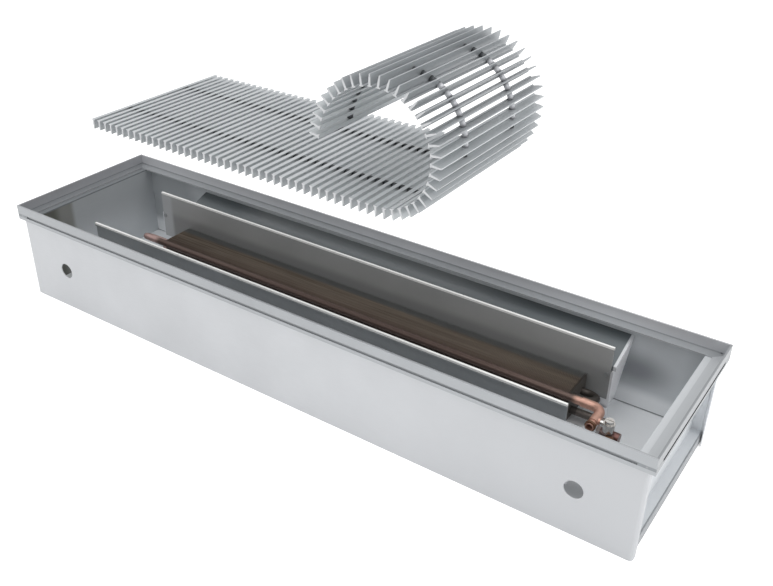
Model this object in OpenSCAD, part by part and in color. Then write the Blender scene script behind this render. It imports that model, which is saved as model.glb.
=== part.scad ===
/* [Trench body] */
// Length over the edging frame
trench_l = 1200; // [1100:10:1500]
// Width over the edging frame
trench_w = 300; // [284:2:340]
// Height from the subfloor to the top of the frame
trench_h = 180; // [172:2:230]
// Thickness of the folded steel sheet
sheet_t = 1.5; // [1:0.1:1.8]
// Height of the floor pan's top face above the subfloor
floor_z = 20; // [14:1:24]
// Setback of each end wall's inner face from the end of the frame
end_setback = 30; // [27:1:38]
// Depth of the end walls' outward folds
end_fold = 16; // [12:0.5:16.5]
// Setback of the side panels' ends from the end of the frame
panel_setback = 7.5; // [5:0.5:9]
// Width of the folds that stiffen the side panels
fold_w = 12; // [8:1:16]
// Outer radius of the side panels' rounded vertical edges
fold_r = 6; // [4:0.5:8]
// Radius of the pipe holes in the front panel
pipe_hole_r = 14; // [9:0.5:16]
// Height of the pipe holes' centres
pipe_hole_z = 77; // [60:1:90]
// Distance from the middle of the trench to the left pipe hole
left_hole_x = 493; // [470:1:540]
// Distance from the fins' right end to the right pipe hole
hole_dx = 81; // [78:1:90]
// Clearance between neighbouring sheets that don't touch
sheet_gap = 0.5; // [0.3:0.1:1]
// Open seam between the floor pan's edge and the side panels
floor_gap = 1.3; // [1:0.1:2]

/* [Edging frame] */
// Thickness of the frame's upright leg
frame_t = 3; // [2.4:0.1:3.4]
// Thickness of the frame's lower lip
lip_t = 4; // [3.6:0.1:5]
// Width of the frame's ledge, from the outer face
ledge_w = 20; // [16:1:24]
// Thickness of the ledge
ledge_t = 2; // [1.5:0.1:3]
// Height of the outer groove
groove_h = 4.6; // [3.6:0.2:6]
// Depth of the outer groove
groove_d = 1.8; // [1:0.1:2]
// Height of the lip below the groove
lip_h = 6; // [4:0.5:9]
// Length of each leg of a corner key in the groove
key_l = 24; // [18:1:36]
// Radius of a corner key screw's head
key_screw_r = 1.5; // [1:0.1:1.7]
// Length of a corner key screw
key_screw_l = 2.8; // [2.2:0.1:3]

/* [Guide plates and deflector] */
// Distance between the facing sides of the two guide plates
chimney_w = 159; // [157:0.5:166]
// Reach of the guide plates past the fins' left end
plate_over_l = 69; // [62:1:76]
// Reach of the guide plates past the fins' right end
plate_over_r = 34; // [31:1:36]
// Height of the guide plates' lower edge
plate_z0 = 63; // [55:1:75]
// Gap between the guide plates and the underside of the ledge
plate_drop = 5; // [3:0.5:9]
// Width of the folded hem on a guide plate's top edge
hem_w = 4; // [3:0.5:6]
// Depth of the hem's downward fold
hem_h = 6; // [4:0.5:9]
// Reach of the rear deflector past the fins' left end
deflector_over_l = 14; // [8:1:20]
// Reach of the rear deflector past the fins' right end
deflector_over_r = 41; // [38:1:46]
// Depth of the deflector's wall edge below the top of the frame
deflector_drop = 34; // [30:1:40]
// Fall of the deflector from the wall to the guide plate
deflector_fall = 23; // [10:1:26]
// Lean of the plates that close the deflector's ends
end_plate_lean = 17; // [0:1:30]

/* [Heat exchanger] */
// Length of the finned part
fin_pack_l = 825; // [760:5:900]
// Offset of the finned part from the middle of the trench
core_x = 7.5; // [0:0.5:12]
// Distance from the trench's middle line to the fins' front edge
fin_y0 = 15; // [15:1:17]
// Depth of a fin across the trench
fin_w = 63; // [58:1:63]
// Height of the fins' lower edge
fin_z0 = 48; // [46:1:50]
// Height of a fin
fin_h = 50; // [46:1:54]
// Number of fins
fin_count = 85; // [40:1:110]
// Thickness of a fin with its collar
fin_t = 1; // [0.6:0.1:1.4]
// Height of the core that carries the fins
core_h = 36; // [30:1:38]
// Width of the core that carries the fins
core_w = 48; // [44:1:52]
// Outer radius of the copper tube
tube_r = 6; // [5:0.25:6.5]
// Wall of the copper tube
tube_t = 1; // [0.6:0.1:1.5]
// Tube stretch between the fins and a bend
tube_tail = 10; // [8:1:14]
// Sideways spacing of the finned tubes
tube_dy = 36; // [33:1:37]
// Height between the finned tubes
tube_dz = 12; // [11.5:0.5:12]
// Distance of the supply pipe behind the trench's middle line
supply_y = 8; // [7:0.5:8]
// Height of the supply pipe's centre
supply_z = 97.5; // [96:0.5:99]
// Width of an exchanger bracket's upright wing
wing_w = 20; // [16:1:24]
// Height of the exchanger brackets' upright wings
wing_h = 92; // [80:1:93]
// Radius of a plate screw's head
plate_screw_r = 3.5; // [3:0.25:4.5]
// Height of a plate screw's head
plate_screw_h = 1.6; // [1.2:0.1:2.2]

/* [Connections] */
// Distance from the fins' right end to the supply run
run_dx = 54; // [52:1:58]
// Radius of the pipe bends' centre line
bend_r = 14; // [12:0.5:15]
// Distance of the supply run's open end in front of the middle line
run_end_y = 40; // [38:1:46]
// Radius of the soldered sockets
socket_r = 7.2; // [6.9:0.1:7.6]
// Length of a soldered socket
socket_l = 18; // [14:1:22]
// Radius of the clamping ring on the open tube end
ring_r = 8; // [7.5:0.1:9]
// Length of the clamping ring
ring_l = 4; // [3:0.5:6]
// Width across the flats of the union nut
nut_w = 18; // [17:0.5:20]
// Length of the union nut
nut_l = 9; // [7:0.5:11]
// Distance of the return fitting in front of the middle line
fitting_y = 15; // [13:1:18]
// Radius of the return fitting's body
fitting_r = 8; // [7.5:0.25:8.5]
// Offset of the return pipe from the hole's line
fitting_dx = 16; // [14:1:17]
// Distance of the air vent in front of the middle line
vent_y = 20; // [18:0.5:22]
// Distance between the air vent and the supply run
vent_dx = 21; // [20:0.5:23]
// Radius of the air vent's body
vent_r = 8.5; // [7:0.25:9]
// Height of the air vent's body
vent_h = 13; // [12:0.5:14]
// Depth of the air vent's foot below the supply run's centre
vent_sink = 9; // [8:0.5:10]
// Radius of the air vent's knob
knob_r = 6.5; // [5:0.25:7]
// Height of the air vent's knob
knob_h = 4.5; // [4:0.5:6]
// Radius of the knob's stem
stem_r = 2; // [1.5:0.1:2.6]
// Running clearance round the stem
stem_gap = 0.08; // [0.05:0.01:0.1]

/* [Roll-up grille] */
// Height of the frame's recess for the grille
recess_h = 18; // [17:0.5:20]
// Height of a grille slat
slat_h = 16; // [14:0.1:17.8]
// Width of a slat's top face
slat_top_w = 6.6; // [5.6:0.2:7.6]
// Width of a slat's lower edge
slat_foot_w = 1.4; // [1:0.1:2]
// Thickness of a slat's web
web_t = 3; // [2.4:0.1:3.6]
// Depth of a slat's broad top part
slat_head_h = 0.8; // [0.6:0.1:1.2]
// Depth at which a slat has narrowed to its web
slat_neck_h = 1.8; // [1.4:0.1:2.2]
// Depth of the wires below a slat's top face
wire_drop = 5.4; // [5.2:0.1:6]
// Spacing of the slats
slat_pitch = 13.2; // [12.8:0.05:13.25]
// Number of slats that lie flat
flat_count = 42; // [38:1:42]
// Extra turn where the roll leaves the flat part, in degrees
roll_start = 1; // [0.5:0.1:2]
// Largest turn from one rolled slat to the next, in degrees
roll_step = 9.6; // [9:0.1:9.7]
// Loss of turn from each rolled slat to the next, in degrees
roll_ease = 0.064; // [0.06:0.001:0.08]
// Clearance between a slat's end and the frame
slat_end_gap = 7; // [1.5:0.5:9]
// Distance between the two rows of spacers
row_gap = 128; // [110:2:160]
// Radius of a spacer sleeve
sleeve_r = 2.8; // [2.4:0.1:3]
// Gap between a sleeve and the next slat of the rolled part
sleeve_gap = 0.6; // [0.5:0.05:0.9]
// Height of the lifted grille's top above the frame's top
grille_lift = 212; // [205:1:240]
// Place of the first slat along the trench
grille_x0 = -361; // [-364:1:-358]

/* [Hidden] */
half_l = trench_l / 2;
half_w = trench_w / 2;
seat_z = trench_h - recess_h;
ledge_z0 = seat_z - ledge_t;
groove_z0 = ledge_z0 - groove_d / 4;
groove_z1 = groove_z0 + groove_h;
lip_z0 = groove_z0 - lip_h;
key_screw_x = half_l - key_l / 2;
key_screw_z = (groove_z0 + groove_z1) / 2;
wall_y = half_w - lip_t;
wall_inner_y = wall_y - sheet_t;
panel_x = half_l - panel_setback;
end_x = half_l - end_setback;
floor_x = panel_x - sheet_t - 2 * floor_gap;
floor_y = wall_inner_y - floor_gap;
// Overrun of every cut
over = 1;
// Clearance of screws, stems and pipes in their holes
fit_gap = 0.05;
// Facets of the round forms
pipe_fn = 24;
sleeve_fn = 14;
fold_fn = 32;

plate_y = chimney_w / 2;
plate_out_y = plate_y + sheet_t;
wing_out_y = plate_out_y + sheet_t;
plate_z1 = ledge_z0 - plate_drop;
fin_x0 = core_x - fin_pack_l / 2;
fin_x1 = core_x + fin_pack_l / 2;
plate_x0 = fin_x0 - plate_over_l;
plate_x1 = fin_x1 + plate_over_r;
plate_mid = (plate_x0 + plate_x1) / 2;
plate_half = (plate_x1 - plate_x0) / 2;
// Gap between a guide plate's end and its bracket
bracket_gap = 2;
bracket_x = plate_half + bracket_gap;
// Height of an exchanger bracket's cross plate
cross_h = 52;
wing_z1 = floor_z + wing_h;
plate_screw_x = plate_half - 5 * sheet_t + bracket_gap;
plate_screw_z = wing_z1 - plate_screw_r - sheet_t;
// Shank of a screw as a share of its head
shank_share = 0.55;
plate_screw_shank_r = plate_screw_r * shank_share;

deflector_z1 = trench_h - deflector_drop;
deflector_z0 = deflector_z1 - deflector_fall;
deflector_flange = deflector_fall / 3;
deflector_x0 = fin_x0 - deflector_over_l;
deflector_x1 = fin_x1 + deflector_over_r;
deflector_len = deflector_x1 - deflector_x0;
deflector_mid = (deflector_x0 + deflector_x1) / 2;

fin_mid_z = fin_z0 + fin_h / 2;
fin_mid_y = fin_y0 + fin_w / 2;
fin_step = (fin_pack_l - fin_t) / (fin_count - 1);
tube_y1 = fin_mid_y - tube_dy / 2;
tube_y2 = fin_mid_y + tube_dy / 2;
tube_z1 = fin_mid_z + tube_dz;
tube_z3 = fin_mid_z - tube_dz;
tail_x0 = fin_x0 - tube_tail;
tail_x1 = fin_x1 + tube_tail;
// Reach of the supply pipe past the other tube ends on the left
supply_reach = 27;
supply_x0 = tail_x0 - supply_reach;
// Length of the shelf of a bracket under the fins
shelf_lap = 4;

run_x = fin_x1 + run_dx;
vent_x = run_x + vent_dx;
vent_z0 = supply_z - vent_sink;
vent_z1 = vent_z0 + vent_h;
boss_l = bend_r - socket_r + sheet_t;
// Radius of the branch that carries the air vent
branch_r = 3.6;
// Depth of the knob's stem in the vent's body
stem_l = 8;
knob_gap = 0.3;
// Width of the slot in the knob
slot_w = 1.5;
// Length of the run's socket past the air vent
socket_tail = 8;
run_socket_y = vent_y + socket_tail;
// Tube end that stands out of the clamping ring
tube_lip = 2;
right_hole_x = fin_x1 + hole_dx;
return_x = right_hole_x - fitting_dx;
// Length of a fitting's pipe socket past its body
fitting_socket = 4;
fitting_front_y = fitting_y + fitting_r + fitting_socket;
fitting_back_y = fitting_r + fitting_socket - fitting_y;

slat_half = half_w - frame_t - slat_end_gap;
wire_z = trench_h + grille_lift - wire_drop;

row_y = row_gap / 2;
flat_end_x = grille_x0 + (flat_count - 1) * slat_pitch;

// A box from its low corner to its high corner
module block(lo, hi) {
  translate(lo) cube(hi - lo);
}

// A round bar along X from x0 to x1
module bar_x(x0, x1, y, z, r, fn = pipe_fn) {
  translate([x0, y, z]) rotate([0, 90, 0]) cylinder(h = x1 - x0, r = r, $fn = fn);
}

// A round bar along Y from y0 to y1
module bar_y(y0, y1, x, z, r, fn = pipe_fn) {
  translate([x, y1, z]) rotate([90, 0, 0]) cylinder(h = y1 - y0, r = r, $fn = fn);
}

// Rectangle of half sizes x and y with round corners
module rounded_plan(x, y, r) {
  square([2 * x, 2 * (y - r)], center = true);
  square([2 * (x - r), 2 * y], center = true);
  for (sx = [-1, 1], sy = [-1, 1]) translate([sx * (x - r), sy * (y - r)]) circle(r = r, $fn = fold_fn);
}

// Side panel: folded sheet with rounded end returns, top and bottom folds
module side_panel() {
  difference() {
    union() {
      linear_extrude(ledge_z0) intersection() {
        difference() {
          rounded_plan(panel_x, wall_y, fold_r);
          rounded_plan(panel_x - sheet_t, wall_inner_y, fold_r - sheet_t);
        }
        translate([-half_l, -half_w]) square([trench_l, lip_t + fold_w]);
      }
      block([-panel_x + fold_r, -wall_y + sheet_t / 2, 0], [panel_x - fold_r, -wall_y + fold_w, sheet_t]);
      block([-end_x + sheet_gap, -wall_y + sheet_t / 2, ledge_z0 - sheet_t],
        [end_x - sheet_gap, -wall_y + fold_w, ledge_z0]);
    }
    children();
  }
}

module front_side_panel() {
  color("gainsboro") side_panel() {
    for (x = [-left_hole_x, right_hole_x])
      bar_y(-half_w, -wall_y + fold_r, x, pipe_hole_z, pipe_hole_r, fold_fn);
  }
}

module rear_side_panel() {
  color("gainsboro") rotate([0, 0, 180]) side_panel();
}

// Floor pan: a shallow tray turned over, standing on the panels' bottom folds
module trough_floor() {
  color("silver") difference() {
    block([-floor_x, -floor_y, sheet_t], [floor_x, floor_y, floor_z]);
    block([-floor_x + sheet_t, -floor_y + sheet_t, 0], [floor_x - sheet_t, floor_y - sheet_t, floor_z - sheet_t]);
  }
}

// End wall with outward folds to the floor, the sides and the ledge
module right_wall() {
  difference() {
    block([end_x, -wall_inner_y, floor_z], [end_x + end_fold, wall_inner_y, ledge_z0]);
    block([end_x + sheet_t, -wall_inner_y + sheet_t, floor_z + sheet_t],
      [half_l, wall_inner_y - sheet_t, ledge_z0 - sheet_t]);
  }
}

module right_end_wall() {
  color("silver") right_wall();
}

module left_end_wall() {
  color("silver") rotate([0, 0, 180]) right_wall();
}

// Section of the frame profile: depth from the outer face, then height
module frame_profile() {
  polygon([
    [0, lip_z0], [lip_t, lip_z0], [lip_t, ledge_z0], [ledge_w, ledge_z0], [ledge_w, seat_z],
    [frame_t, seat_z], [frame_t, trench_h], [0, trench_h], [0, groove_z1],
    [groove_d, groove_z1], [groove_d, groove_z0], [0, groove_z0]
  ]);
}

// Frame rail with mitred ends, its outer face at y = -across
module rail(along, across) {
  intersection() {
    translate([-along, -across, 0]) rotate([90, 0, 90]) linear_extrude(2 * along) frame_profile();
    linear_extrude(trench_h) polygon([
      [-along, -across], [along, -across],
      [along - ledge_w, ledge_w - across], [ledge_w - along, ledge_w - across]
    ]);
  }
}

// Rail with a screw hole behind each corner key
module long_rail() {
  difference() {
    rail(half_l, half_w);
    for (s = [-1, 1])
      bar_y(-half_w, -half_w + frame_t + over, s * key_screw_x, key_screw_z, key_screw_r + fit_gap, sleeve_fn);
  }
}

module frame_front() {
  color("lightsteelblue") long_rail();
}

module frame_rear() {
  color("lightsteelblue") rotate([0, 0, 180]) long_rail();
}

module frame_left() {
  color("lightsteelblue") rotate([0, 0, -90]) rail(half_w, half_l);
}

module frame_right() {
  color("lightsteelblue") rotate([0, 0, 90]) rail(half_w, half_l);
}

// L-shaped keys that fill the groove round each corner
module frame_corner_keys() {
  color("slategray") for (sx = [-1, 1], sy = [-1, 1]) scale([sx, sy, 1]) difference() {
    block([half_l - key_l, half_w - key_l, groove_z0], [half_l, half_w, groove_z1]);
    block([half_l - key_l - over, half_w - key_l - over, groove_z0 - over],
      [half_l - groove_d, half_w - groove_d, groove_z1 + over]);
    bar_y(half_w - key_l, half_w + over, key_screw_x, key_screw_z, key_screw_r + fit_gap, sleeve_fn);
  }
}

// Screws of the corner keys and of the guide plates
module sheet_screws() {
  color("whitesmoke") {
    for (sx = [-1, 1], sy = [-1, 1]) scale([sx, sy, 1])
      bar_y(half_w - key_screw_l, half_w, key_screw_x, key_screw_z, key_screw_r, sleeve_fn);
    for (sx = [-1, 1], sy = [-1, 1]) translate([plate_mid, 0, 0]) scale([sx, sy, 1]) {
      bar_y(plate_y - plate_screw_h, plate_y, plate_screw_x, plate_screw_z, plate_screw_r, sleeve_fn);
      bar_y(plate_y, wing_out_y + sheet_t, plate_screw_x, plate_screw_z, plate_screw_shank_r, sleeve_fn);
    }
  }
}

// Guide plate on the rear side, with a folded hem along its top
module guide_plate() {
  difference() {
    union() {
      block([plate_x0, plate_y, plate_z0], [plate_x1, plate_out_y, plate_z1]);
      block([plate_x0, plate_y, plate_z1 - sheet_t], [plate_x1, plate_y + hem_w, plate_z1]);
      block([plate_x0, plate_y + hem_w - sheet_t, plate_z1 - hem_h], [plate_x1, plate_y + hem_w, plate_z1]);
    }
    for (s = [-1, 1])
      bar_y(plate_y - over, plate_out_y + over, plate_mid + s * plate_screw_x, plate_screw_z,
        plate_screw_shank_r + fit_gap, sleeve_fn);
  }
}

module rear_guide_plate() {
  color("dimgray") guide_plate();
}

module front_guide_plate() {
  color("dimgray") mirror([0, 1, 0]) guide_plate();
}

// Deflector: a sloping sheet with a fold against the wall and one against the plate
module air_deflector() {
  color("darkslategray") translate([deflector_x0, 0, 0]) rotate([90, 0, 90]) linear_extrude(deflector_len)
    polygon([
      [wall_inner_y, deflector_z1], [wall_inner_y, deflector_z1 - 2 * deflector_flange],
      [wall_inner_y - sheet_t, deflector_z1 - 2 * deflector_flange],
      [wall_inner_y - sheet_t, deflector_z1 - sheet_t],
      [plate_out_y + sheet_t, deflector_z0 - sheet_t],
      [plate_out_y + sheet_t, deflector_z0 - deflector_flange],
      [plate_out_y, deflector_z0 - deflector_flange], [plate_out_y, deflector_z0]
    ]);
}

// Plates that close the space under the deflector, leaning outwards to the top
module deflector_end_plates() {
  color("gainsboro") for (s = [-1, 1]) translate([deflector_mid, 0, 0]) scale([s, 1, 1]) intersection() {
    translate([deflector_len / 2, wall_inner_y, 0]) rotate([90, 0, 0]) linear_extrude(wall_inner_y - plate_out_y)
      polygon([
        [-end_plate_lean - fold_w, floor_z], [sheet_t - end_plate_lean, floor_z], [0, deflector_z1],
        [-sheet_t, deflector_z1], [-end_plate_lean, floor_z + sheet_t],
        [-end_plate_lean - fold_w, floor_z + sheet_t]
      ]);
    rotate([90, 0, 90]) linear_extrude(half_l) polygon([
      [plate_out_y + sheet_t, floor_z], [wall_inner_y, floor_z],
      [wall_inner_y, deflector_z1 - 2 * deflector_flange],
      [wall_inner_y - sheet_t, deflector_z1 - 2 * deflector_flange],
      [wall_inner_y - sheet_t, deflector_z1 - sheet_t],
      [plate_out_y + sheet_t, deflector_z0 - sheet_t]
    ]);
  }
}

// Folded bracket: cross plate, two upright wings, a foot and a shelf for the fins
module bracket(shelf_end) {
  difference() {
    union() {
      block([bracket_x, -wing_out_y, floor_z], [bracket_x + sheet_t, fin_y0 - sheet_gap, floor_z + cross_h]);
      block([bracket_x, -wing_out_y, floor_z], [bracket_x + sheet_t, wing_out_y, fin_z0]);
      block([bracket_x, -wing_out_y, floor_z], [bracket_x + fold_w, wing_out_y, floor_z + sheet_t]);
      block([shelf_end, fin_y0, fin_z0 - sheet_t], [bracket_x + sheet_t, fin_y0 + fin_w, fin_z0]);
      for (s = [-1, 1]) scale([1, s, 1])
        block([bracket_x + sheet_t - wing_w, plate_out_y, floor_z], [bracket_x + sheet_t, wing_out_y, wing_z1]);
    }
    for (s = [-1, 1]) scale([1, s, 1])
      bar_y(plate_out_y - over, wing_out_y + over, plate_screw_x, plate_screw_z,
        plate_screw_shank_r + fit_gap, sleeve_fn);
  }
}

module exchanger_brackets() {
  color("lightgray") translate([plate_mid, 0, 0]) {
    bracket(fin_x1 - shelf_lap - plate_mid);
    scale([-1, 1, 1]) bracket(plate_mid - fin_x0 - shelf_lap);
  }
}

// Fins on the flat core that stands for the tube rows inside them
module fin_pack() {
  color("sienna") {
    for (i = [0 : fin_count - 1])
      translate([fin_x0 + i * fin_step, fin_y0, fin_z0]) cube([fin_t, fin_w, fin_h]);
    block([fin_x0, fin_mid_y - core_w / 2, fin_mid_z - core_h / 2],
      [fin_x1, fin_mid_y + core_w / 2, fin_mid_z + core_h / 2]);
  }
}

// Tube loop: two legs and the half ring that joins them, bulging towards the side s
module u_bend(x, ya, za, yb, zb, leg_a, leg_b, s) {
  dy = yb - ya;
  dz = zb - za;
  r = norm([dy, dz]) / 2;
  translate([x, (ya + yb) / 2, (za + zb) / 2]) rotate([atan2(dz, dy), 0, 0]) rotate([0, 0, (1 - s) * 90]) {
    rotate([0, 0, -90]) rotate_extrude(angle = 180, $fn = 2 * pipe_fn)
      translate([r, 0]) circle(r = tube_r, $fn = pipe_fn);
    translate([0, -s * r, 0]) rotate([0, -90, 0]) cylinder(h = leg_a, r = tube_r, $fn = pipe_fn);
    translate([0, s * r, 0]) rotate([0, -90, 0]) cylinder(h = leg_b, r = tube_r, $fn = pipe_fn);
  }
}

module tube_bends() {
  color("peru") {
    u_bend(supply_x0, supply_y, supply_z, tube_y1, tube_z1, 0, fin_x0 - supply_x0, -1);
    u_bend(tail_x1, tube_y1, tube_z1, tube_y2, fin_mid_z, tube_tail, tube_tail, 1);
    u_bend(tail_x0, tube_y2, fin_mid_z, tube_y1, tube_z3, tube_tail, tube_tail, -1);
    bar_x(fin_x1, tail_x1, tube_y1, tube_z3, tube_r);
  }
}

// Quarter bend from the +X direction at x to the -Y direction
module quarter_bend(x, y, z, r = tube_r) {
  translate([x - bend_r, y - bend_r, z]) rotate_extrude(angle = 90, $fn = 2 * pipe_fn)
    translate([bend_r, 0]) circle(r = r, $fn = pipe_fn);
}

// Long pipe over the fins' front edge, elbow and open run with the vent's boss
module supply_pipe() {
  color("peru") difference() {
    union() {
      bar_x(supply_x0, run_x - bend_r, supply_y, supply_z, tube_r);
      bar_x(run_x - bend_r - socket_l, run_x - bend_r, supply_y, supply_z, socket_r);
      quarter_bend(run_x, supply_y, supply_z, socket_r);
      bar_y(-run_socket_y, supply_y - bend_r, run_x, supply_z, socket_r);
      bar_y(-run_end_y, -vent_y, run_x, supply_z, tube_r);
      bar_x(run_x, run_x + boss_l, -vent_y, supply_z, branch_r + sheet_t);
    }
    bar_y(-run_end_y - over, -run_socket_y, run_x, supply_z, tube_r - tube_t);
  }
}

module return_pipe() {
  color("sienna") {
    bar_x(tail_x1, return_x - bend_r, tube_y1, tube_z3, tube_r);
    quarter_bend(return_x, tube_y1, tube_z3);
    bar_y(fitting_back_y, tube_y1 - bend_r, return_x, tube_z3, tube_r);
  }
}

// Return fitting: lying body, leg down to the pipe, union stub in line with the hole
module return_fitting() {
  color("saddlebrown") difference() {
    union() {
      bar_x(return_x - socket_r, right_hole_x + fitting_r + tube_lip, -fitting_y, pipe_hole_z, fitting_r);
      translate([return_x, -fitting_y, tube_z3 - socket_r])
        cylinder(h = pipe_hole_z - tube_z3 + socket_r, r = socket_r, $fn = pipe_fn);
      bar_y(-fitting_y, fitting_back_y, return_x, tube_z3, socket_r);
      bar_y(-fitting_front_y, -fitting_y, right_hole_x, pipe_hole_z, socket_r);
    }
    bar_y(-half_w, -fitting_y - fitting_r, right_hole_x, pipe_hole_z, tube_r - tube_t);
  }
}

// Clamping ring on the supply tube and six-sided union nut on the return fitting
module union_nuts() {
  color("darkgoldenrod") {
    difference() {
      bar_y(tube_lip - run_end_y, tube_lip - run_end_y + ring_l, run_x, supply_z, ring_r);
      bar_y(-run_end_y, 0, run_x, supply_z, tube_r + fit_gap);
    }
    difference() {
      translate([right_hole_x, -fitting_front_y, pipe_hole_z]) rotate([90, 0, 0])
        cylinder(h = nut_l, d = nut_w / cos(30), $fn = 6);
      bar_y(-half_w, 0, right_hole_x, pipe_hole_z, tube_r);
    }
  }
}

// Air vent: branch, round body and the bore of its knob
module air_vent_body() {
  color("silver") difference() {
    union() {
      bar_x(run_x + boss_l, vent_x, -vent_y, supply_z, branch_r);
      translate([vent_x, -vent_y, vent_z0]) cylinder(h = vent_h, r = vent_r, $fn = fold_fn);
    }
    translate([vent_x, -vent_y, vent_z1 - stem_l]) cylinder(h = vent_h, r = stem_r + stem_gap, $fn = pipe_fn);
  }
}

module air_vent_knob() {
  color("whitesmoke") translate([vent_x, -vent_y, vent_z1 + knob_gap]) {
    translate([0, 0, -stem_l]) cylinder(h = stem_l + knob_gap, r = stem_r, $fn = pipe_fn);
    difference() {
      cylinder(h = knob_h, r = knob_r, $fn = fold_fn);
      translate([-knob_r - over, -slot_w / 2, knob_h - slot_w]) cube([2 * (knob_r + over), slot_w, knob_h]);
    }
  }
}
// Section of a slat: across its width, then height from the wire line
module slat_profile() {
  top = wire_drop;
  foot = wire_drop - slat_h;
  polygon([
    [-slat_top_w / 2, top], [-slat_top_w / 2, top - slat_head_h], [-web_t / 2, top - slat_neck_h],
    [-web_t / 2, -sleeve_r], [-slat_foot_w / 2, foot], [slat_foot_w / 2, foot],
    [web_t / 2, -sleeve_r], [web_t / 2, top - slat_neck_h],
    [slat_top_w / 2, top - slat_head_h], [slat_top_w / 2, top]
  ]);
}

module slat() {
  rotate([90, 0, 0]) linear_extrude(2 * slat_half, center = true) slat_profile();
}

module grille_flat_slats() {
  color("silver") for (i = [0 : flat_count - 1]) translate([grille_x0 + i * slat_pitch, 0, wire_z]) slat();
}

// Sleeves on the wires between the flat slats
module grille_flat_spacers() {
  color("darkslategray") for (i = [0 : flat_count - 2], s = [-1, 1])
    bar_x(grille_x0 + i * slat_pitch + web_t / 2, grille_x0 + (i + 1) * slat_pitch - web_t / 2,
      s * row_y, wire_z, sleeve_r, sleeve_fn);
}

// Whole turn of rolled slat k, the first of which lies with the flat part; its place follows from the turns before it
function turn(k) = k < 2 ? 0 : roll_start + (k - 1) * roll_step - roll_ease * (k - 1) * (k - 2) / 2;
function roll_x(k) = k == 0 ? flat_end_x : roll_x(k - 1) + slat_pitch * cos(turn(k));
function roll_z(k) = k == 0 ? wire_z : roll_z(k - 1) + slat_pitch * sin(turn(k));

// Rolled slat k with the two sleeves that space it from the one before
module roll_slat(k) {
  color("silver") translate([roll_x(k), 0, roll_z(k)]) rotate([0, -turn(k), 0]) {
    slat();
    for (s = [-1, 1])
      bar_x(web_t / 2 + sleeve_gap - slat_pitch, -web_t / 2, s * row_y, 0, sleeve_r, sleeve_fn);
  }
}

module roll_slat_01() {
  roll_slat(1);
}

module roll_slat_02() {
  roll_slat(2);
}

module roll_slat_03() {
  roll_slat(3);
}

module roll_slat_04() {
  roll_slat(4);
}

module roll_slat_05() {
  roll_slat(5);
}

module roll_slat_06() {
  roll_slat(6);
}

module roll_slat_07() {
  roll_slat(7);
}

module roll_slat_08() {
  roll_slat(8);
}

module roll_slat_09() {
  roll_slat(9);
}

module roll_slat_10() {
  roll_slat(10);
}

module roll_slat_11() {
  roll_slat(11);
}

module roll_slat_12() {
  roll_slat(12);
}

module roll_slat_13() {
  roll_slat(13);
}

module roll_slat_14() {
  roll_slat(14);
}

module roll_slat_15() {
  roll_slat(15);
}

module roll_slat_16() {
  roll_slat(16);
}

module roll_slat_17() {
  roll_slat(17);
}

module roll_slat_18() {
  roll_slat(18);
}

module roll_slat_19() {
  roll_slat(19);
}

module roll_slat_20() {
  roll_slat(20);
}

module roll_slat_21() {
  roll_slat(21);
}

module roll_slat_22() {
  roll_slat(22);
}

module roll_slat_23() {
  roll_slat(23);
}

module roll_slat_24() {
  roll_slat(24);
}

module roll_slat_25() {
  roll_slat(25);
}

module roll_slat_26() {
  roll_slat(26);
}

module roll_slat_27() {
  roll_slat(27);
}

module roll_slat_28() {
  roll_slat(28);
}

module roll_slat_29() {
  roll_slat(29);
}

module roll_slat_30() {
  roll_slat(30);
}

module roll_slat_31() {
  roll_slat(31);
}

front_side_panel();
rear_side_panel();
trough_floor();
left_end_wall();
right_end_wall();
frame_front();
frame_rear();
frame_left();
frame_right();
frame_corner_keys();
sheet_screws();
front_guide_plate();
rear_guide_plate();
air_deflector();
deflector_end_plates();
exchanger_brackets();
fin_pack();
tube_bends();
supply_pipe();
return_pipe();
union_nuts();
return_fitting();
air_vent_body();
air_vent_knob();
grille_flat_slats();
grille_flat_spacers();
roll_slat_01();
roll_slat_02();
roll_slat_03();
roll_slat_04();
roll_slat_05();
roll_slat_06();
roll_slat_07();
roll_slat_08();
roll_slat_09();
roll_slat_10();
roll_slat_11();
roll_slat_12();
roll_slat_13();
roll_slat_14();
roll_slat_15();
roll_slat_16();
roll_slat_17();
roll_slat_18();
roll_slat_19();
roll_slat_20();
roll_slat_21();
roll_slat_22();
roll_slat_23();
roll_slat_24();
roll_slat_25();
roll_slat_26();
roll_slat_27();
roll_slat_28();
roll_slat_29();
roll_slat_30();
roll_slat_31();
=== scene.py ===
import math

import bmesh
import bpy
from mathutils import Matrix, Vector


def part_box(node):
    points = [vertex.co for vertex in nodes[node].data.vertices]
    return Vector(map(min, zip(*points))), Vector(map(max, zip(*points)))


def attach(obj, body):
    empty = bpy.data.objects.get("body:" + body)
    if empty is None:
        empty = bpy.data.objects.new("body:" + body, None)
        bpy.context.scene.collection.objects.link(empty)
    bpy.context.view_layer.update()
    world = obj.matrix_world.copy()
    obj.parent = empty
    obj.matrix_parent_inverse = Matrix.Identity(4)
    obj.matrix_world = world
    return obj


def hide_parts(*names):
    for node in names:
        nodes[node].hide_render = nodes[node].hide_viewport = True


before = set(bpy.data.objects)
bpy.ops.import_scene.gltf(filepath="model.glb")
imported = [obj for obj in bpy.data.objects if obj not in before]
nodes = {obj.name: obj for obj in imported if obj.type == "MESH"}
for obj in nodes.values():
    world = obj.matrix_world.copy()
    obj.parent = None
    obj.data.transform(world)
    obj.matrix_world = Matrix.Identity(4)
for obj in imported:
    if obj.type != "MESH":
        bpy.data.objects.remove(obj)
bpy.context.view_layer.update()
print("frame loaded:", len(nodes), "parts")


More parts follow.
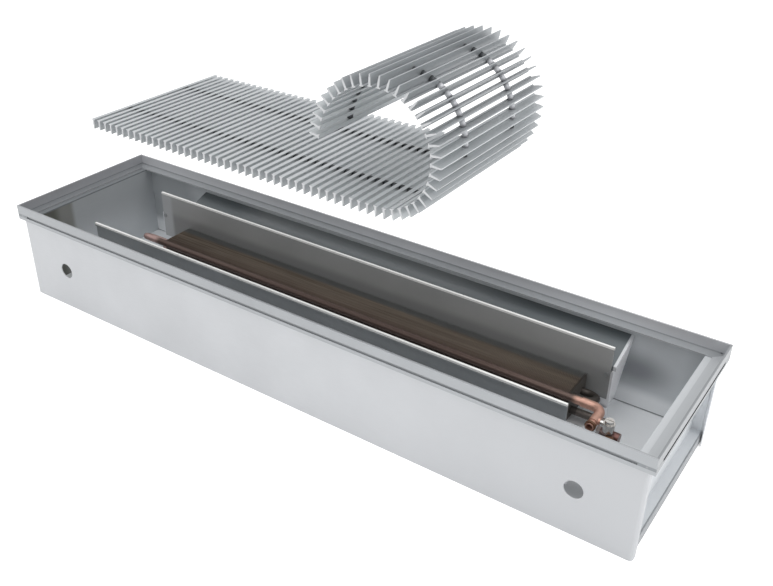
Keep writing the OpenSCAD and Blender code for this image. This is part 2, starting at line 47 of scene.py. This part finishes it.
# Linear RGBA of an sRGB hex colour
def srgb(code):
    parts = [int(code[i:i + 2], 16) / 255 for i in (1, 3, 5)]
    return [c / 12.92 if c <= 0.04045 else ((c + 0.055) / 1.055) ** 2.4 for c in parts] + [1.0]


# A node with its settings, values and links
def addNode(tree, kind, inputs=None, links=None, **settings):
    made = tree.nodes.new(kind)
    for name, value in settings.items():
        setattr(made, name, value)
    for name, value in (inputs or {}).items():
        made.inputs[name].default_value = value
    for name, source in (links or {}).items():
        tree.links.new(source, made.inputs[name])
    return made


def newMaterial(name):
    material = bpy.data.materials.new(name)
    material.use_nodes = True
    material.node_tree.nodes.clear()
    return material, material.node_tree


# Noise whose grains have a size in millimetres along x, y and z
def grainNoise(tree, sizeMm, detail, roughness):
    place = addNode(tree, "ShaderNodeTexCoord")
    spread = addNode(tree, "ShaderNodeMapping", {"Scale": [1000 / s for s in sizeMm]},
                     {"Vector": place.outputs["Object"]})
    return addNode(tree, "ShaderNodeTexNoise", {"Scale": 1.0, "Detail": detail, "Roughness": roughness},
                   {"Vector": spread.outputs[0]}).outputs[0]


def socketCalled(sockets, identifier):
    return next(s for s in sockets if s.identifier == identifier)


def mixColours(tree, factor, first, second):
    mixed = addNode(tree, "ShaderNodeMix", data_type="RGBA")
    for identifier, value in (("A_Color", first), ("B_Color", second)):
        socket = socketCalled(mixed.inputs, identifier)
        if isinstance(value, list):
            socket.default_value = value
        else:
            tree.links.new(value, socket)
    tree.links.new(factor, socketCalled(mixed.inputs, "Factor_Float"))
    return socketCalled(mixed.outputs, "Result_Color")


# One between two places along an axis, in mm, and zero elsewhere
def bandMask(tree, split, axis, start, end):
    return addNode(tree, "ShaderNodeMath", {1: (start + end) / 2000, 2: (end - start) / 2000},
                   {0: split.outputs["xyz".index(axis)]}, operation="COMPARE")


# Share of a spot's reach, from its middle, that has the full tone
spotCore = 0.1


# Zones of another tone, in mm: "fade" runs from one place to another, "ends" does so on both sides of the
# middle, "band" lies between two places, and "spot" is a soft oval patch with a centre and a reach. The last
# entry, where there is one, keeps a zone between two places along one more axis, such as one face of a sheet
def addZones(tree, colour, zones):
    if not zones:
        return colour
    place = addNode(tree, "ShaderNodeTexCoord")
    split = addNode(tree, "ShaderNodeSeparateXYZ", {}, {"Vector": place.outputs["Object"]})
    for kind, axis, start, end, tint, *within in zones:
        if kind == "spot":
            offset, scale = [0.0] * 3, [0.0] * 3
            for letter, middle, reach in zip(axis, start, end):
                at = "xyz".index(letter)
                offset[at], scale[at] = -middle / reach, 1000 / reach
            oval = addNode(tree, "ShaderNodeMapping", {"Location": offset, "Scale": scale},
                           {"Vector": place.outputs["Object"]})
            away = addNode(tree, "ShaderNodeVectorMath", {}, {0: oval.outputs[0]}, operation="LENGTH")
            mask = addNode(tree, "ShaderNodeMapRange", {"From Min": 1.0, "From Max": spotCore},
                           {"Value": away.outputs["Value"]}, interpolation_type="SMOOTHSTEP")
        elif kind == "band":
            mask = bandMask(tree, split, axis, start, end)
        else:
            along = split.outputs["xyz".index(axis)]
            if kind == "ends":
                along = addNode(tree, "ShaderNodeMath", {}, {0: along}, operation="ABSOLUTE").outputs[0]
            mask = addNode(tree, "ShaderNodeMapRange", {"From Min": start / 1000, "From Max": end / 1000},
                           {"Value": along}, interpolation_type="SMOOTHSTEP")
        if within:
            kept = bandMask(tree, split, *within[0])
            mask = addNode(tree, "ShaderNodeMath", {}, {0: mask.outputs[0], 1: kept.outputs[0]},
                           operation="MULTIPLY")
        colour = mixColours(tree, mask.outputs[0], colour, srgb(tint))
    return colour


# What a finish has where it doesn't say otherwise
finishBase = {"cloudDetail": 4.0, "cloudRoughness": 0.55, "grainDetail": 3.0, "grainRoughness": 0.6,
              "grainShare": 0.35, "toneSpread": 0.25, "glossSpread": 0.06, "relief": 0.06, "reliefMm": 0.4,
              "zones": []}


# One finish: two tones in soft clouds, a fine grain in gloss and relief, and zones of other tones
def makeFinish(name, look):
    look = {**finishBase, **look}
    material, tree = newMaterial(name)
    cloud = grainNoise(tree, look["cloudMm"], look["cloudDetail"], look["cloudRoughness"])
    grain = grainNoise(tree, look["grainMm"], look["grainDetail"], look["grainRoughness"])
    share = addNode(tree, "ShaderNodeMath", {1: look["grainShare"]}, {0: grain}, operation="MULTIPLY")
    total = addNode(tree, "ShaderNodeMath", {}, {0: cloud, 1: share.outputs[0]}, operation="ADD")
    middle = 0.5 + 0.5 * look["grainShare"]
    factor = addNode(tree, "ShaderNodeMapRange",
                     {"From Min": middle - look["toneSpread"], "From Max": middle + look["toneSpread"]},
                     {"Value": total.outputs[0]})
    colour = mixColours(tree, factor.outputs[0], srgb(look["dark"]), srgb(look["light"]))
    colour = addZones(tree, colour, look["zones"])
    gloss = addNode(tree, "ShaderNodeMapRange", {"To Min": look["roughness"] - look["glossSpread"],
                                                 "To Max": look["roughness"] + look["glossSpread"]},
                    {"Value": grain})
    relief = addNode(tree, "ShaderNodeBump", {"Strength": look["relief"], "Distance": look["reliefMm"] / 1000},
                     {"Height": grain})
    shader = addNode(tree, "ShaderNodeBsdfPrincipled", {"Metallic": look["metallic"]},
                     {"Base Color": colour, "Roughness": gloss.outputs[0], "Normal": relief.outputs[0]})
    addNode(tree, "ShaderNodeOutputMaterial", {}, {"Surface": shader.outputs[0]})
    return material


# Zinc-plated steel sheet, cold rolled and bent: pale and matt, so it shows soft clouds and hardly any mirror
# image. The rolled grain of 1.1 mm runs along each sheet and is drawn coarser than the real one, so that it
# shows. Each sheet has its own lighter or darker copy of the finish as painted light and shade, and the
# zones are painted shade, painted shadows and painted light on the sheets
zincSheet = {"metallic": 0.3, "roughness": 0.45, "cloudMm": (170, 170, 170), "grainMm": (25, 25, 1.1)}
# Front sheet: darker towards its right end, painted shade
frontZinc = makeFinish("zincSheetFront", {
    **zincSheet, "light": "#cdcfd2", "dark": "#c2c4c7", "zones": [("fade", "x", 0, 700, "#bfc1c4")]})
rearInside = ("y", 0, 145.2)  # only the face towards the trough
# Rear sheet, inside: darker towards both ends, painted shade, and in a soft oval patch at the right, a painted
# shadow of the grille; lighter towards the bottom, painted light; a dark line at its foot, painted shade in
# the crease with the floor. Its right end fold is lighter, painted light
rearZinc = makeFinish("zincSheetRear", {
    **zincSheet, "light": "#c8cccf", "dark": "#bdc1c4",
    "zones": [("fade", "x", -440, -480, "#abafb2", rearInside),
              ("fade", "x", 535, 575, "#b0b4b7", rearInside),
              ("spot", "xz", (472, 88), (76, 44), "#8a8d91", rearInside),
              ("fade", "z", 60, 40, "#e4e6e8", rearInside),
              ("band", "z", 20, 21.4, "#8e9194", rearInside),
              ("fade", "x", 584, 588, "#f2f4f6")]})
# Floor: a lighter copy of the zinc, painted light, with a soft dark oval at the front right, a painted shadow
# of the front guide plate's corner, and darker ends beyond the end walls, painted shade
floorZinc = makeFinish("zincSheetFloor", {
    **zincSheet, "light": "#eef0f2", "dark": "#e3e6e8", "grainMm": (25, 1.1, 25),
    "zones": [("spot", "xy", (482, -86), (56, 42), "#a0a3a6"), ("ends", "x", 568, 572, "#9da0a3")]})
leftInside = ("x", -570.8, 0)  # only the face towards the trough
# Left end wall: a darker copy of the zinc, painted shade; lighter towards the bottom, painted light; darker
# towards its front corner inside, a painted shadow; and a darker top fold under the rail, painted shade
leftEndZinc = makeFinish("zincSheetLeftEnd", {
    **zincSheet, "light": "#b6babd", "dark": "#aaaeb1",
    "zones": [("fade", "z", 130, 50, "#c6cacd"),
              ("fade", "y", -50, -62, "#8a8b88", leftInside),
              ("fade", "y", -80, -100, "#64655f", leftInside),
              ("fade", "z", 157, 158, "#7d8184")]})
# Right end wall: a lighter copy of the zinc, painted light, for its recess under the rail; darker at its foot
# and at its top fold under the rail, painted shade
rightEndZinc = makeFinish("zincSheetRightEnd", {
    **zincSheet, "light": "#dcdfe2", "dark": "#d2d5d8",
    "zones": [("fade", "z", 14, 12, "#b0b3b6"), ("fade", "z", 156, 157, "#c8cbce")]})

# Natural anodised aluminium profile, extruded: a satin sheen with draw lines along the rail. Each rail has
# its own lighter or darker copy of the finish as painted light and shade. The seat for the grille has another
# grey on each rail, painted light and shade, the rear rail darkens towards its right end as painted shade, and
# the dark band in the outer groove is painted shade
frameProfile = {"metallic": 0.45, "roughness": 0.38, "cloudMm": (220, 220, 220)}
lengthwise = {**frameProfile, "grainMm": (60, 0.9, 0.9)}
crosswise = {**frameProfile, "grainMm": (0.9, 60, 0.9)}
frontRail = makeFinish("anodisedFrontRail", {
    **lengthwise, "light": "#aeb1b4", "dark": "#a2a5a8",
    "zones": [("band", "z", 159.6, 164.4, "#8a8d90", ("y", -150.5, -147.5))]})
rearRail = makeFinish("anodisedRearRail", {
    **lengthwise, "light": "#d8d9dc", "dark": "#cccdd0",
    "zones": [("fade", "x", 400, 620, "#bcbdc0"), ("band", "z", 161, 163.4, "#a2a5a8")]})
leftRail = makeFinish("anodisedLeftRail", {
    **crosswise, "light": "#b3b4b8", "dark": "#a5a6aa", "zones": [("band", "z", 161, 163.4, "#8f9295")]})
rightRail = makeFinish("anodisedRightRail", {
    **crosswise, "light": "#9a9da0", "dark": "#8f9295",
    "zones": [("band", "z", 161, 163.4, "#bbbec1"),
              ("band", "z", 159.2, 164.8, "#3c3f42", ("x", 596, 600.5))]})

# The grille's slats, extruded and anodised like the frame, sawn to length: satin faces with bare bright ends
grilleSlats = {"metallic": 0.4, "roughness": 0.4, "light": "#c8ccce", "dark": "#babec1",
               "cloudMm": (90, 140, 90), "grainMm": (0.9, 40, 0.9),
               "zones": [("ends", "y", 139.2, 139.8, "#c6c8ca")]}
slatAluminium = makeFinish("anodisedSlats", grilleSlats)
# The slats at the top of the roll turn their faces down and get a darker copy of the finish, painted shade
shadedRollSlats = {"first": 12, "last": 24, "look": {**grilleSlats, "light": "#b0b4b7", "dark": "#a3a7aa"}}
shadedSlatAluminium = makeFinish("anodisedSlatsShaded", shadedRollSlats["look"])

# Matt grey stove paint on sheet: even, with a fine orange peel in the gloss. The rolled top hem carries a
# painted highlight, the rear plate's lower half behind the fins is darker as a painted reflection of the fins,
# its left end is lighter as painted light, and the deflector is a darker grey
guidePlates = {"metallic": 0.2, "roughness": 0.42, "cloudMm": (110, 110, 60), "grainMm": (2, 2, 2),
               "relief": 0.08}
hemHighlight = ("fade", "z", 151.5, 151.7, "#f2f2f0")
frontGuidePaint = makeFinish("stovePaintFront", {
    **guidePlates, "light": "#9da1a4", "dark": "#929699", "zones": [hemHighlight]})
rearGuidePaint = makeFinish("stovePaintRear", {
    **guidePlates, "light": "#a8a9a9", "dark": "#9e9f9f",
    "zones": [("fade", "z", 124, 106, "#8d8e8e"), ("fade", "x", -444, -454, "#b4b6b8"), hemHighlight]})
# The deflector is lighter towards the rear rail and in two soft stretches along it, painted light, and pale at
# its right end
deflectorPaint = makeFinish("stovePaintDeflector", {
    **guidePlates, "light": "#585e61", "dark": "#4e5457",
    "zones": [("fade", "y", 104, 132, "#888c8e"), ("fade", "x", 100, 330, "#5e6467"),
              ("fade", "x", -240, -350, "#646a6d"), ("fade", "x", 456, 457, "#c4c6c9")]})

# Bright zinc on the small steel parts: shinier than the sheets, with a faint blotchiness. The end plates of
# the deflector get a white, less metallic copy of it, painted light, and the corner keys and the screws have
# dulled to grey
smallZinc = {"metallic": 0.5, "roughness": 0.36, "cloudMm": (20, 20, 20), "grainMm": (1, 1, 1)}
bracketZinc = makeFinish("zincBrackets", {**smallZinc, "light": "#eeeff2", "dark": "#e2e3e6"})
litEndPlateZinc = makeFinish("zincEndPlatesLit", {
    **smallZinc, "metallic": 0.1, "light": "#ffffff", "dark": "#f6f5f8"})
keyZinc = makeFinish("zincCornerKeys", {**smallZinc, "light": "#8d9194", "dark": "#7c8083"})
screwZinc = makeFinish("zincScrews", {**smallZinc, "light": "#a4a6a8", "dark": "#74787a", "roughness": 0.3})

# Fins under a thin dark lacquer: brown-grey edges, streaked lengthwise where the coating ran over many fins
finStack = {"count": 339, "thickMm": 0.3, "tubeRadiusMm": 6, "tubeSides": 24,
            "tubesYzMm": ((-18, 12), (18, 0), (-18, -12)),
            "look": {"metallic": 0.25, "roughness": 0.5, "light": "#b2a496", "dark": "#71665c",
                     "cloudMm": (260, 4.5, 8), "grainMm": (90, 1.6, 3), "grainShare": 0.8,
                     # Darker towards the front and at the right end, painted shade, and greyer towards the
                     # rear edge
                     "zones": [("fade", "y", 42, 6, "#6e5c54"), ("fade", "y", 60, 67, "#868787"),
                               ("fade", "x", 416, 418.5, "#54504c")]}}
finLacquer = makeFinish("lacqueredFins", finStack["look"])

# Drawn copper tube: warm and half bright. The supply pipe is dark brown along its run and bright at its right
# end and at its left bend
copperTube = {"metallic": 0.65, "roughness": 0.42, "cloudMm": (18, 12, 12), "grainMm": (9, 1.5, 1.5),
              "relief": 0.1}
# The bends right of the middle are nearly black, painted shade
copperBends = makeFinish("drawnCopperBends", {
    **copperTube, "light": "#bc9f9a", "dark": "#a08782", "zones": [("fade", "x", 300, 320, "#4c4743")]})
copperSupply = makeFinish("drawnCopperSupply", {
    **copperTube, "light": "#cfa594", "dark": "#b58d7e",
    "zones": [("fade", "x", 438, 426, "#60504a"), ("fade", "x", -408, -424, "#b89c97")]})
# The return pipe gets a dull grey-brown copy of the copper all along, painted shade
shadedReturnCopper = makeFinish("copperReturnShaded", {**copperTube, "light": "#77706b", "dark": "#5c5652"})
# Return fitting: nickel-plated at its left end, darker in the middle as painted shade, bare reddish brass at
# the right
fittingMetal = makeFinish("platedFitting", {
    **copperTube, "light": "#8a7a76", "dark": "#6a5c5a", "roughness": 0.3,
    "zones": [("fade", "x", 484, 482, "#d8d5d4"), ("fade", "x", 498, 504, "#70504a")]})
# Union nuts of dull brass: brown, with blotches of handling
nutBrass = makeFinish("dullBrass", {**copperTube, "light": "#8a6650", "dark": "#54402f", "roughness": 0.4})
# Nickel plate on the vent: bright and slightly warm, the smoothest surface of the part
ventNickel = makeFinish("nickelPlate", {
    "metallic": 0.95, "roughness": 0.22, "light": "#e4e2df", "dark": "#c4c1bd",
    "cloudMm": (6, 6, 6), "grainMm": (1.2, 1.2, 1.2)})

# Moulded plastic sleeves: one matt plastic in lit and shaded copies. Nearly black on the flat part, painted
# shade between the slats; dark grey on the roll, painted shade; and pale where the roll's front lets the light
# through, painted light. Their collars are mid grey there and nearly black elsewhere, painted shade at the
# slats
sleevePlastic = {"metallic": 0.0, "roughness": 0.55, "cloudMm": (12, 12, 12), "grainMm": (1, 1, 1)}
flatSleeve = makeFinish("plasticSleeves", {**sleevePlastic, "light": "#34383b", "dark": "#26292c"})
rollSleeve = makeFinish("plasticSleevesLit", {**sleevePlastic, "light": "#d6d7db", "dark": "#c9cace"})
rollCollar = makeFinish("plasticCollars", {**sleevePlastic, "light": "#98999d", "dark": "#8a8b8f"})
shadedSleeve = makeFinish("plasticSleevesShaded", {**sleevePlastic, "light": "#54575a", "dark": "#46494c"})

finishes = {
    "front_side_panel": frontZinc, "rear_side_panel": rearZinc, "trough_floor": floorZinc,
    "left_end_wall": leftEndZinc, "right_end_wall": rightEndZinc,
    "frame_front": frontRail, "frame_rear": rearRail, "frame_left": leftRail, "frame_right": rightRail,
    "frame_corner_keys": keyZinc, "sheet_screws": screwZinc,
    "front_guide_plate": frontGuidePaint, "rear_guide_plate": rearGuidePaint, "air_deflector": deflectorPaint,
    "deflector_end_plates": litEndPlateZinc, "exchanger_brackets": bracketZinc, "fin_pack": finLacquer,
    "tube_bends": copperBends, "supply_pipe": copperSupply, "return_pipe": shadedReturnCopper, "union_nuts": nutBrass,
    "return_fitting": fittingMetal, "air_vent_body": ventNickel, "air_vent_knob": ventNickel,
    "grille_flat_slats": slatAluminium, "grille_flat_spacers": flatSleeve,
}
for k in range(shadedRollSlats["first"], shadedRollSlats["last"] + 1):
    finishes["roll_slat_%02d" % k] = shadedSlatAluminium
for name, node in nodes.items():
    for place in range(len(node.data.materials)):
        node.data.materials[place] = finishes.get(name, slatAluminium)
print("finishes on the parts done")

# Broken edges on the sharp profiles of the frame and the slats
brokenEdges = {"frameMm": 0.5, "slatMm": 0.4, "segments": 2, "sharpDegrees": 50}


def softEdges(names, widthMm):
    for name in names:
        bevel = nodes[name].modifiers.new("edges", "BEVEL")
        bevel.width = widthMm / 1000
        bevel.segments = brokenEdges["segments"]
        bevel.limit_method = "ANGLE"
        bevel.angle_limit = math.radians(brokenEdges["sharpDegrees"])


softEdges(["frame_front", "frame_rear", "frame_left", "frame_right"], brokenEdges["frameMm"])
softEdges(["grille_flat_slats"] + [n for n in nodes if n.startswith("roll_slat")], brokenEdges["slatMm"])
print("edges broken")


def addPiece(name, shape, materials, body, replaced=()):
    mesh = bpy.data.meshes.new(name)
    shape.to_mesh(mesh)
    shape.free()
    piece = bpy.data.objects.new(name, mesh)
    bpy.context.scene.collection.objects.link(piece)
    for material in materials:
        mesh.materials.append(material)
    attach(piece, body)
    if replaced:
        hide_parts(*replaced)
    return piece


def addBox(shape, low, high):
    made = bmesh.ops.create_cube(shape, size=1)["verts"]
    bmesh.ops.scale(shape, vec=[h - l for l, h in zip(low, high)], verts=made)
    bmesh.ops.translate(shape, vec=[(l + h) / 2 for l, h in zip(low, high)], verts=made)


# Thin fins at their real spacing, with the finned tubes through them
finLow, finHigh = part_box("fin_pack")
finMid = (finLow + finHigh) / 2
finLength = finHigh.x - finLow.x
finThick, tubeRadius = finStack["thickMm"] / 1000, finStack["tubeRadiusMm"] / 1000
finShape = bmesh.new()
for i in range(finStack["count"]):
    x = finLow.x + (finLength - finThick) * i / (finStack["count"] - 1)
    addBox(finShape, (x, finLow.y, finLow.z), (x + finThick, finHigh.y, finHigh.z))
for dy, dz in finStack["tubesYzMm"]:
    tube = bmesh.ops.create_cone(finShape, cap_ends=True, segments=finStack["tubeSides"], radius1=tubeRadius,
                                 radius2=tubeRadius, depth=finLength)["verts"]
    bmesh.ops.rotate(finShape, verts=tube, matrix=Matrix.Rotation(math.pi / 2, 3, "Y"))
    bmesh.ops.translate(finShape, verts=tube, vec=(finMid.x, finMid.y + dy / 1000, finMid.z + dz / 1000))
addPiece("thinFins", finShape, [finLacquer], "trough", ["fin_pack"])
print("fins done")

# Sleeves of the rolled slats, each with a collar at both ends. The chain repeats the rule of the roll in the
# part's source: the turn of each slat, in degrees, grows by a little less than that of the one before
rollSleeves = {"slats": 31, "pitchMm": 13.2, "startXMm": 180.2, "startZMm": 386.6,
               "firstTurn": 1.0, "turnStep": 9.6, "turnLoss": 0.064,
               "rowYMm": 64, "sleeveRadiusMm": 3.9, "collarRadiusMm": 4.0, "collarMm": 1.6,
               "webMm": 3.0, "freeMm": 0.6, "sides": 20, "paleFrom": 11, "paleTo": 17}
# Barrel-shaped sleeves of the flat part, thick only where they show between the slats' heads
flatSleeves = {"gaps": 41, "startXMm": -361, "coreRadiusMm": 3.2, "lengthMm": 10.2, "barrelRadiusMm": 5.1,
               "barrelMm": 6.0}
pitch, web, free, collar, rowY, wireX, wireZ = (rollSleeves[key] / 1000 for key in (
    "pitchMm", "webMm", "freeMm", "collarMm", "rowYMm", "startXMm", "startZMm"))


def slatTurn(k):
    if k < 2:
        return 0.0
    chain = rollSleeves
    loss = chain["turnLoss"] * (k - 1) * (k - 2) / 2
    return math.radians(chain["firstTurn"] + (k - 1) * chain["turnStep"] - loss)


# A short round length along x
def addRound(shape, startX, endX, y, radiusMm, materialIndex=0):
    made = bmesh.ops.create_cone(shape, cap_ends=True, segments=rollSleeves["sides"], radius1=radiusMm / 1000,
                                 radius2=radiusMm / 1000, depth=endX - startX)["verts"]
    for f in {f for v in made for f in v.link_faces}:
        f.material_index = materialIndex
        f.smooth = len(f.verts) == 4
    bmesh.ops.rotate(shape, verts=made, matrix=Matrix.Rotation(math.pi / 2, 3, "Y"))
    bmesh.ops.translate(shape, verts=made, vec=((startX + endX) / 2, y, 0))


flatShape = bmesh.new()
for i in range(flatSleeves["gaps"]):
    middle = flatSleeves["startXMm"] / 1000 + (i + 0.5) * pitch
    for y in (-rowY, rowY):
        for length, radius in (("lengthMm", "coreRadiusMm"), ("barrelMm", "barrelRadiusMm")):
            half = flatSleeves[length] / 2000
            addRound(flatShape, middle - half, middle + half, y, flatSleeves[radius])
bmesh.ops.translate(flatShape, verts=flatShape.verts, vec=(0, 0, wireZ))
addPiece("flatSleeves", flatShape, [flatSleeve], "grille", ["grille_flat_spacers"])

far, near = web / 2 + free - pitch, -web / 2
for k in range(1, rollSleeves["slats"] + 1):
    turn = slatTurn(k)
    wireX += pitch * math.cos(turn)
    wireZ += pitch * math.sin(turn)
    sleeveShape = bmesh.new()
    for y in (-rowY, rowY):
        addRound(sleeveShape, far + collar, near - collar, y, rollSleeves["sleeveRadiusMm"])
        addRound(sleeveShape, far, far + collar, y, rollSleeves["collarRadiusMm"], 1)
        addRound(sleeveShape, near - collar, near, y, rollSleeves["collarRadiusMm"], 1)
    bmesh.ops.rotate(sleeveShape, verts=sleeveShape.verts, matrix=Matrix.Rotation(-turn, 3, "Y"))
    bmesh.ops.translate(sleeveShape, verts=sleeveShape.verts, vec=(wireX, 0, wireZ))
    pale = rollSleeves["paleFrom"] <= k <= rollSleeves["paleTo"]
    plastics = [rollSleeve, rollCollar] if pale else [shadedSleeve, flatSleeve]
    body = "grille" if k == 1 else "roll_slat_%02d_body" % k
    addPiece("rollSleeves_%02d" % k, sleeveShape, plastics, body)
print("sleeves done")

# Camera solved from the photograph's edges: its place in metres, angles in degrees, lens and sensor in mm
photoView = {"turn": 33.716, "tilt": 30.738, "roll": 0.945, "place": (0.797341, -1.035102, 0.907386),
             "lens": 43.056, "sensor": 36, "nearClip": 0.05}
turn, tilt, roll = (math.radians(photoView[key]) for key in ("turn", "tilt", "roll"))
back = Vector((math.sin(turn) * math.cos(tilt), -math.cos(turn) * math.cos(tilt), math.sin(tilt)))
level = Vector((math.cos(turn), math.sin(turn), 0))
upright = back.cross(level)
right = math.cos(roll) * level + math.sin(roll) * upright
up = -math.sin(roll) * level + math.cos(roll) * upright
cameraData = bpy.data.cameras.new("photoCamera")
cameraData.sensor_fit = "HORIZONTAL"
cameraData.sensor_width = photoView["sensor"]
cameraData.lens = photoView["lens"]
cameraData.clip_start = photoView["nearClip"]
camera = bpy.data.objects.new("photoCamera", cameraData)
bpy.context.scene.collection.objects.link(camera)
axes = Matrix((right, up, back)).transposed().to_4x4()
camera.matrix_world = Matrix.Translation(photoView["place"]) @ axes
bpy.context.scene.camera = camera
print("camera done")

# Plain pale floor and world with soft lamps. The camera sees both as white, and so do reflections the floor,
# while the light that they give to the part stays low
studio = {"floorColour": "#f4f4f4", "floorReach": 30, "floorRoughness": 0.9, "floorSpecular": 0.1,
          "floorLift": 0.45, "worldStrength": 0.8, "whiteStrength": 1.0,
          "lamps": [("keyLamp", (0.2, -1.7, 2.6), (0.0, 0.0, 0.1), 2.2, 12),
                    ("topLamp", (0.2, 0.1, 3.0), (0.1, 0.0, 0.0), 2.0, 20),
                    ("sideLamp", (2.6, 0.0, 1.6), (0.3, 0.0, 0.1), 1.5, 18)]}
white = (1, 1, 1, 1)
floorShape = bmesh.new()
bmesh.ops.create_grid(floorShape, x_segments=1, y_segments=1, size=studio["floorReach"])
floorMesh = bpy.data.meshes.new("floor")
floorShape.to_mesh(floorMesh)
floorShape.free()
floor = bpy.data.objects.new("floor", floorMesh)
bpy.context.scene.collection.objects.link(floor)
floorMaterial, tree = newMaterial("paleFloor")
seen = addNode(tree, "ShaderNodeLightPath")
seenOrMirrored = addNode(tree, "ShaderNodeMath", {},
                         {0: seen.outputs["Is Camera Ray"], 1: seen.outputs["Is Glossy Ray"]},
                         operation="MAXIMUM")
lift = addNode(tree, "ShaderNodeMath", {1: studio["floorLift"]}, {0: seenOrMirrored.outputs[0]},
               operation="MULTIPLY")
matt = addNode(tree, "ShaderNodeBsdfPrincipled",
               {"Base Color": srgb(studio["floorColour"]), "Roughness": studio["floorRoughness"],
                "Specular IOR Level": studio["floorSpecular"]})
glow = addNode(tree, "ShaderNodeEmission", {"Color": white}, {"Strength": lift.outputs[0]})
both = addNode(tree, "ShaderNodeAddShader", {}, {0: matt.outputs[0], 1: glow.outputs[0]})
addNode(tree, "ShaderNodeOutputMaterial", {}, {"Surface": both.outputs[0]})
floorMesh.materials.append(floorMaterial)

world = bpy.data.worlds.new("studio")
world.use_nodes = True
tree = world.node_tree
sky = tree.nodes["Background"]
sky.inputs["Color"].default_value = white
seen = addNode(tree, "ShaderNodeLightPath")
strength = addNode(tree, "ShaderNodeMapRange",
                   {"To Min": studio["worldStrength"], "To Max": studio["whiteStrength"]},
                   {"Value": seen.outputs["Is Camera Ray"]})
tree.links.new(strength.outputs[0], sky.inputs["Strength"])
bpy.context.scene.world = world
bpy.context.scene.view_settings.view_transform = "Standard"

for name, place, aim, size, power in studio["lamps"]:
    data = bpy.data.lights.new(name, "AREA")
    data.size = size
    data.energy = power
    lamp = bpy.data.objects.new(name, data)
    bpy.context.scene.collection.objects.link(lamp)
    lamp.location = place
    lamp.rotation_euler = (Vector(aim) - Vector(place)).to_track_quat("-Z", "Y").to_euler()
print("floor, world and lamps done")
